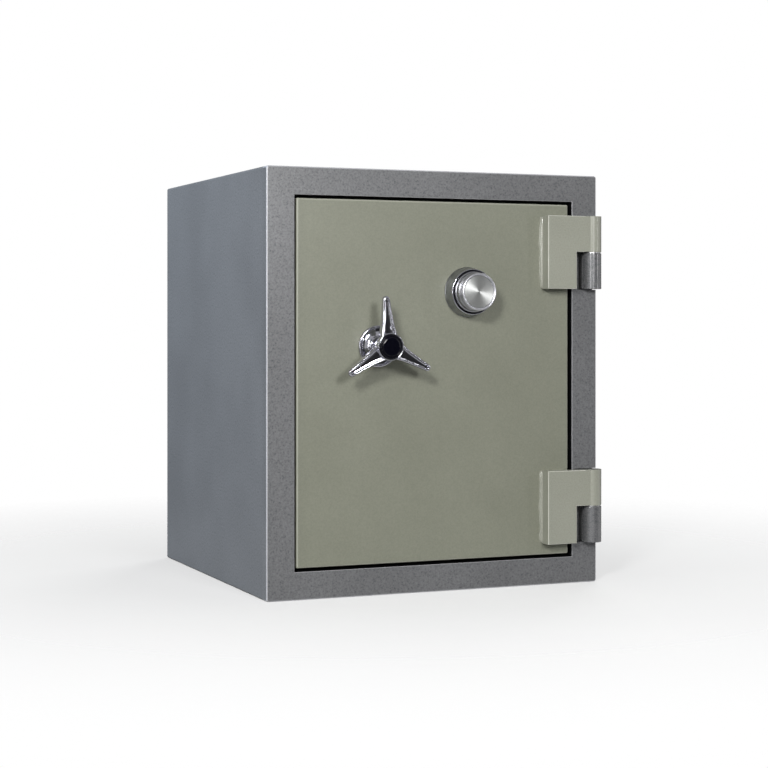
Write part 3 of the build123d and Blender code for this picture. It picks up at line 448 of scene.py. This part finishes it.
def tube(shell, rows):
    """Skins rows of points that each run once round a section, and closes both ends."""
    made = [[shell.verts.new(point) for point in row] for row in rows]
    count = len(made[0])
    for first, second in zip(made, made[1:]):
        for i in range(count):
            j = (i + 1) % count
            shell.faces.new((first[i], first[j], second[j], second[i]))
    shell.faces.new(made[0])
    shell.faces.new(reversed(made[-1]))


def between(x, points):
    """Straight-line interpolation in a list of (x, y) points."""
    for (x0, y0), (x1, y1) in zip(points, points[1:]):
        if x <= x1:
            return y0 + (y1 - y0) * max(0.0, (x - x0) / (x1 - x0))
    return points[-1][1]


def spoke_row(r, turn):
    """The section of a spoke at a radius: rounded rims on both sides of a sunk channel."""
    half = between(r, SPOKE_HALF_WIDTH)
    front = between(r, SPOKE_FRONT)
    back = between(r, SPOKE_BACK)
    channel = max(0.0, between(r, [(SPOKE_ROOT, half - 4.6), (24, half - 4.4), (60, half - 3.3),
                                   (73, half - 3.5), (76, 0.0)]))
    sunk = 2.8 * min(1.0, channel / 1.6)
    bull = max(0.0, (r - (TIP_R - TIP_ROUND)) / TIP_ROUND)
    round_off = math.sqrt(max(0.0, 1 - bull ** 2)) if bull else 1.0
    middle = (front + back) / 2
    rim = half - channel
    rim_drop = 2.4
    outline = [(0, front + sunk), (channel * 0.85, front + sunk)]
    for step in range(9):
        angle = math.radians(step * 20 + 10)
        drop = sunk if angle < math.pi / 2 else rim_drop
        outline.append((channel + rim * (1 - math.cos(angle)) / 2, front + drop * (1 - math.sin(angle))))
    outline += [(half, front + rim_drop), (half, back - 2.4), (half - 0.4, back - 1.0),
                (half - 1.6, back - 0.15), (half * 0.5, back), (0, back)]
    outline += [(-side, depth) for side, depth in reversed(outline[1:-1])]
    points = []
    for side, depth in outline:
        side *= round_off
        depth = middle + (depth - middle) * (0.35 + 0.65 * round_off)
        x = HANDLE_AT.x / MM - r * math.sin(turn) + side * math.cos(turn)
        z = HANDLE_AT.z / MM + r * math.cos(turn) + side * math.sin(turn)
        points.append(at(x, depth, z))
    return points


def handle_casting():
    """The hub and its three spokes, with the channels sunk into their faces."""
    shell = bmesh.new()
    lathe(shell, HANDLE_AT, softened([
        (8.2, -6.8), (13, -6.8), (13, -17.8), (14.3, -23.6), (18.3, -29.8), (20.8, -36), (HUB_R, -42),
        (HUB_R, -52.8), (19.6, -52.8), (19.6, -49), (8.2, -49)], 1.6))
    stops = [SPOKE_ROOT + i * 2.0 for i in range(33)]
    stops += [TIP_R - TIP_ROUND + TIP_ROUND * math.sin(math.radians(a)) for a in range(0, 91, 10)]
    for i in range(3):
        turn = math.radians(SPOKE_TILT + i * 120)
        tube(shell, [spoke_row(r, turn) for r in stops])
    finish_piece("handle_casting", shell, "handle", sharp=48)


def hub_dome():
    """The black moulded insert: a raised rim, a groove and a nearly flat raised middle."""
    shell = bmesh.new()
    lathe(shell, HANDLE_AT, softened([
        (0, -47.9), (19.4, -47.9), (19.4, -53.6), (18.5, -54.6), (17.0, -54.5), (16.4, -53.5),
        (15.6, -53.5), (14.9, -54.9), (13.0, -55.3), (0, -55.4)], 0.7, steps=5))
    finish_piece("hub_dome", shell, "hub_cap")


def rosette():
    """The polished rose on the door behind the handle."""
    shell = bmesh.new()
    lathe(shell, HANDLE_AT, softened([
        (11.6, DOOR_FACE), (33.6, DOOR_FACE), (33.9, 1.4), (33.1, -0.3), (31.2, -0.9), (29.5, -0.2),
        (28.9, 1.1), (24.5, 0.4), (19.5, -1.2), (17.2, -2.6), (16.6, -4.6), (15.4, -5.7),
        (11.6, -5.7), (11.6, DOOR_FACE)], 1.0))
    finish_piece("handle_rosette", shell, "handle_flange", sharp=40)


def dial_collar():
    """The tapered ring that the dial stands in, satin outside with a polished lip."""
    shell = bmesh.new()
    lathe(shell, DIAL_AT, softened([
        (7.1, DOOR_FACE), (40.9, DOOR_FACE), (40.9, 1.8), (40.1, 1.0), (37.9, -17.6), (37.15, -19.0),
        (36.4, -19.35), (35.6, -19.1), (35.2, -17.6), (33.9, -16.4), (33.9, 0.3), (7.1, 0.3),
        (7.1, DOOR_FACE)], 0.5))
    collar = finish_piece("dial_collar", shell, "dial_ring", sharp=40)
    collar.data.materials.append(COLLAR_SATIN)
    lip_depth, outer_wall_r = -17.4, 37.6
    for face in collar.data.polygons:
        centre = (face.center - DIAL_AT) / MM
        if centre.y > lip_depth and math.hypot(centre.x, centre.z) > outer_wall_r:
            face.material_index = 1


def dial_knob():
    """The knob: a polished flange, a band for the numbers, a knurled grip and two grooves."""
    shell = bmesh.new()
    lathe(shell, DIAL_AT, softened([
        (4.1, -0.9), (27.6, -0.9), (31.4, -4), (31.4, -19.4), (33.1, -20.2), (33.3, -21.2), (32.4, -22.2),
        (BAND_BACK_R, BAND_BACK_DEPTH), (31.1, -30.4), (30.2, -30.8), (30.2, -31.8), (30.9, -32.1),
        (30.9, -33.2), (30.4, -33.5), (30.4, -33.9), (30.8, -34.2), (30.8, -35.3), (30.3, -35.6),
        (30.3, -36.0), (30.7, -36.3), (30.7, -37.6), (30.4, -38.3), (29.0, -38.5), (29.0, -39.3),
        (26.0, -39.3)], 0.35, steps=3), segments=240, ribs=(-33.3, -32.0, 0.25))
    finish_piece("dial_knob", shell, "dial", sharp=30, material=KNOB_SATIN)


def dial_rim():
    """The bright rounded rim round the face."""
    shell = bmesh.new()
    lathe(shell, DIAL_AT, softened([
        (26.3, -39.2), (29.4, -39.2), (30.5, -40.0), (30.8, -41.6), (30.2, -43.0), (28.9, -43.8),
        (27.6, -43.5), (26.7, -42.3), (26.3, -41.2), (26.3, -39.2)], 0.9))
    finish_piece("dial_rim", shell, "dial_bezel", sharp=60, material=RIM_SATIN)


def dial_disc():
    """The spun face, very slightly coned towards its middle."""
    shell = bmesh.new()
    face_depth, cone_r, cone_rise = -41.6, 25.5, 0.25
    rings = [(26.2, -39.9), (26.2, -41.3), (25.9, face_depth)]
    rings += [(r, face_depth - cone_rise * (1 - r / cone_r)) for r in (cone_r, 20, 15, 10, 6, 3, 1, 0)]
    lathe(shell, DIAL_AT, rings, segments=200)
    finish_piece("dial_disc", shell, "dial_face", sharp=30)


def weld_row(z, along):
    """The section of a weld bead at a height. along is the distance from the middle of its run."""
    taper = math.sqrt(max(0.0, 1 - (abs(along) / WELD_HALF_LENGTH) ** 14))
    wander = 0.5 * math.sin(z / 9.0) + 0.4 * math.sin(z / 4.1 + 1.0) + 0.3 * math.sin(z / 17.0)
    row = [at(HINGE_BLOCK_X + 1.0, DOOR_FACE + 0.5, z)]
    for step in range(9):
        angle = math.radians(step * 11.25)
        ripple = 0.22 * math.sin(z * 2.1 + 1.4 * math.cos(angle) + 0.5 * math.sin(z / 6.0))
        bulge = 1 - 0.12 * math.sin(2 * angle)
        width = ((4.3 + wander + ripple) * taper + 0.2) * bulge
        height = ((4.4 - 0.4 * wander + ripple) * taper + 0.2) * bulge
        row.append(at(HINGE_BLOCK_X - width * math.cos(angle), DOOR_FACE - height * math.sin(angle), z))
    row.append(at(HINGE_BLOCK_X + 1.0, DOOR_FACE - 1.0, z))
    return row


def weld_beads():
    """Painted weld runs with the ripples that a hand-run bead leaves."""
    shell = bmesh.new()
    for middle in (HINGES_MIDDLE_Z - HINGE_FROM_MIDDLE, HINGES_MIDDLE_Z + HINGE_FROM_MIDDLE):
        places = [-WELD_HALF_LENGTH + i * 2 * WELD_HALF_LENGTH / WELD_STEPS for i in range(WELD_STEPS + 1)]
        tube(shell, [weld_row(middle + along, along) for along in places])
    finish_piece("weld_beads", shell, "hinge_welds", sharp=60, material=WELD_PAINT)


def on_band(angle, across, along):
    """A point just above the dial's number band: across millimetres round it, along from its back edge."""
    radius = BAND_BACK_R - BAND_TAPER * along / BAND_LENGTH + INK_STANDS_PROUD
    turn = angle + across / radius
    x = DIAL_AT.x / MM + radius * math.sin(turn)
    z = DIAL_AT.z / MM + radius * math.cos(turn)
    return at(x, BAND_BACK_DEPTH - along, z)


def draw_tick(shell, mark):
    """One tick of the hundred, longer at each five and ten."""
    angle = 2 * math.pi * mark / 100
    length = 3.0 if mark % 10 == 0 else 2.4 if mark % 5 == 0 else 1.6
    half = 0.16 if mark % 10 == 0 else 0.11
    corners = ((-half, 0.5), (half, 0.5), (half, length), (-half, length))
    shell.faces.new([shell.verts.new(on_band(angle, across, along)) for across, along in corners])


def draw_number(shell, number):
    """One number of the dial, wrapped on to the band beyond its tick."""
    baseline = 6.9
    angle = 2 * math.pi * number / 100
    font = bpy.data.curves.new("number", "FONT")
    font.body = str(number)
    font.size = 4.2
    font.align_x = "CENTER"
    letter = bpy.data.objects.new("number", font)
    outline = bpy.data.meshes.new_from_object(letter)
    made = []
    for vertex in outline.vertices:
        made.append(shell.verts.new(on_band(angle, vertex.co.x, baseline - vertex.co.y)))
    for face in outline.polygons:
        shell.faces.new([made[index] for index in face.vertices])
    bpy.data.objects.remove(letter)
    bpy.data.curves.remove(font)
    bpy.data.meshes.remove(outline)


def dial_marks():
    """A hundred enamelled ticks round the dial, with a number at each ten."""
    shell = bmesh.new()
    for mark in range(100):
        draw_tick(shell, mark)
    for number in range(0, 100, 10):
        draw_number(shell, number)
    mesh = bpy.data.meshes.new("dial_marks")
    shell.to_mesh(mesh)
    shell.free()
    mesh.materials.append(MATERIALS["index_black"])
    marks = bpy.data.objects.new("dial_marks", mesh)
    bpy.context.scene.collection.objects.link(marks)
    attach(marks, "dial")


handle_casting()
hub_dome()
rosette()
dial_collar()
dial_knob()
dial_rim()
dial_disc()
dial_marks()
weld_beads()


# ---------------------------------------------------------------- floor, light and camera

FLOOR_R = 1.45
FADE_PER_METRE = 0.69
WHITE = (1, 1, 1)
DAYLIGHT = (0.74, 0.86, 1.0)

# What polished metal mirrors, by how far a direction leans towards this one: a dark patch in front of the
# door, a brighter ring round it, and a dim room behind.
MIRROR_AXIS = (0.38, -0.92, 0)
MIRROR_BANDS = (0.0, 0.1), (0.25, 0.5), (0.84, 0.5), (0.9, 0.035)


def floor():
    """A pale round sheet under the safe that fades out towards its edge."""
    bpy.ops.mesh.primitive_circle_add(vertices=128, radius=FLOOR_R, fill_type="NGON",
                                      location=(0, 0, CAD_BOX[0].z))
    sheet = bpy.context.object
    sheet.name = "floor"
    paper = Shader("floor_paper")
    grain = paper.noise(400, detail=3)
    distance = paper.node("ShaderNodeVectorMath", operation="LENGTH")
    paper.link(paper.place((FADE_PER_METRE, FADE_PER_METRE, 1)), distance.inputs[0])
    fade = paper.ramp(distance.outputs["Value"], (0.3, 0.45), (0.7, 0.2), (0.98, 0.0))
    sheet.data.materials.append(paper.put(Base_Color=paper.ramp(grain, (0.3, 0.86), (0.7, 0.89)),
                                          Roughness=paper.span(grain, 0.85, 0.95), Alpha=fade))
    return sheet


def softbox(name, place, aim, size, power, colour=WHITE, glints=True):
    """A rectangular soft light at a place, pointed at another. glints says if gloss mirrors it."""
    data = bpy.data.lights.new(name, "AREA")
    data.shape = "RECTANGLE"
    data.size, data.size_y = size
    data.energy = power
    data.color = colour
    lamp = bpy.data.objects.new(name, data)
    lamp.location = place
    lamp.visible_glossy = glints
    lamp.rotation_euler = (Vector(aim) - Vector(place)).to_track_quat("-Z", "Y").to_euler()
    bpy.context.scene.collection.objects.link(lamp)
    return lamp


def flag_off(lamp, sheet):
    """Keeps a light off the floor, as a studio flag does, so that less light bounces up from it."""
    shaded = bpy.data.collections.new("shaded_by_flag")
    shaded.objects.link(sheet)
    shaded.collection_objects[0].light_linking.link_state = "EXCLUDE"
    lamp.light_linking.receiver_collection = shaded


def studio(sheet):
    """A key and a front light, soft fills that gloss doesn't mirror, and three tall strips that it does."""
    middle = (0, -0.2, 0.45)
    softbox("key_light", (-1.5, -2.3, 1.4), middle, (0.4, 0.4), 39)
    softbox("front_light", (0.0, -3.0, 1.15), middle, (0.5, 0.5), 30)
    side = softbox("side_light", (-2.0, 0.5, 1.9), (-0.3, 0, 0.7), (0.3, 1.0), 86, DAYLIGHT, glints=False)
    flag_off(side, sheet)
    softbox("top_light", (0, 0.2, 2.8), middle, (2.2, 2.2), 9, glints=False)
    softbox("back_light", (1.9, 2.3, 1.3), (0, 0.1, 0.35), (1.6, 1.2), 60, glints=False)
    softbox("camera_strip", (-1.56, -2.27, 0.75), middle, (0.05, 1.1), 4.5)
    softbox("left_strip", (-2.0, -0.62, 0.7), middle, (0.08, 1.2), 6)
    softbox("right_strip", (1.9, -2.0, 0.9), middle, (0.1, 1.2), 4)
    surroundings()


def surroundings():
    """A dim room that gives soft fill, another that polished metal mirrors, and a white backdrop."""
    world = bpy.data.worlds.new("surround")
    bpy.context.scene.world = world
    world.use_nodes = True
    tree = world.node_tree
    room = tree.nodes["Background"]
    room.inputs["Color"].default_value = (0.92, 0.95, 1.0, 1)
    room.inputs["Strength"].default_value = 0.14
    facing = tree.nodes.new("ShaderNodeVectorMath")
    facing.operation = "DOT_PRODUCT"
    facing.inputs[1].default_value = MIRROR_AXIS
    tree.links.new(tree.nodes.new("ShaderNodeTexCoord").outputs["Generated"], facing.inputs[0])
    bands = tree.nodes.new("ShaderNodeValToRGB")
    stops = bands.color_ramp.elements
    while len(stops) < len(MIRROR_BANDS):
        stops.new(1.0)
    for stop, (position, level) in zip(stops, MIRROR_BANDS):
        stop.position = position
        stop.color = (level, level, level, 1)
    tree.links.new(facing.outputs["Value"], bands.inputs["Fac"])
    mirrored = tree.nodes.new("ShaderNodeBackground")
    tree.links.new(bands.outputs["Color"], mirrored.inputs["Color"])
    backdrop = tree.nodes.new("ShaderNodeBackground")
    backdrop.inputs["Color"].default_value = (*WHITE, 1)
    path = tree.nodes.new("ShaderNodeLightPath")
    lit = room
    for ray, shade in (("Is Glossy Ray", mirrored), ("Is Camera Ray", backdrop)):
        mix = tree.nodes.new("ShaderNodeMixShader")
        tree.links.new(path.outputs[ray], mix.inputs["Fac"])
        tree.links.new(lit.outputs[0], mix.inputs[1])
        tree.links.new(shade.outputs[0], mix.inputs[2])
        lit = mix
    tree.links.new(lit.outputs[0], tree.nodes["World Output"].inputs["Surface"])


def camera():
    """From the left front, level with a height a little above the middle of the door."""
    data = bpy.data.cameras.new("camera")
    data.sensor_width = 36.0
    data.lens = 84.75
    data.shift_y = -0.0888
    eye = bpy.data.objects.new("camera", data)
    eye.location = (-1.213, -2.968, 0.449)
    eye.rotation_euler = (math.radians(90), 0, math.radians(-22.62))
    bpy.context.scene.collection.objects.link(eye)
    bpy.context.scene.camera = eye


studio(floor())
camera()
bpy.context.scene.view_settings.view_transform = "Standard"
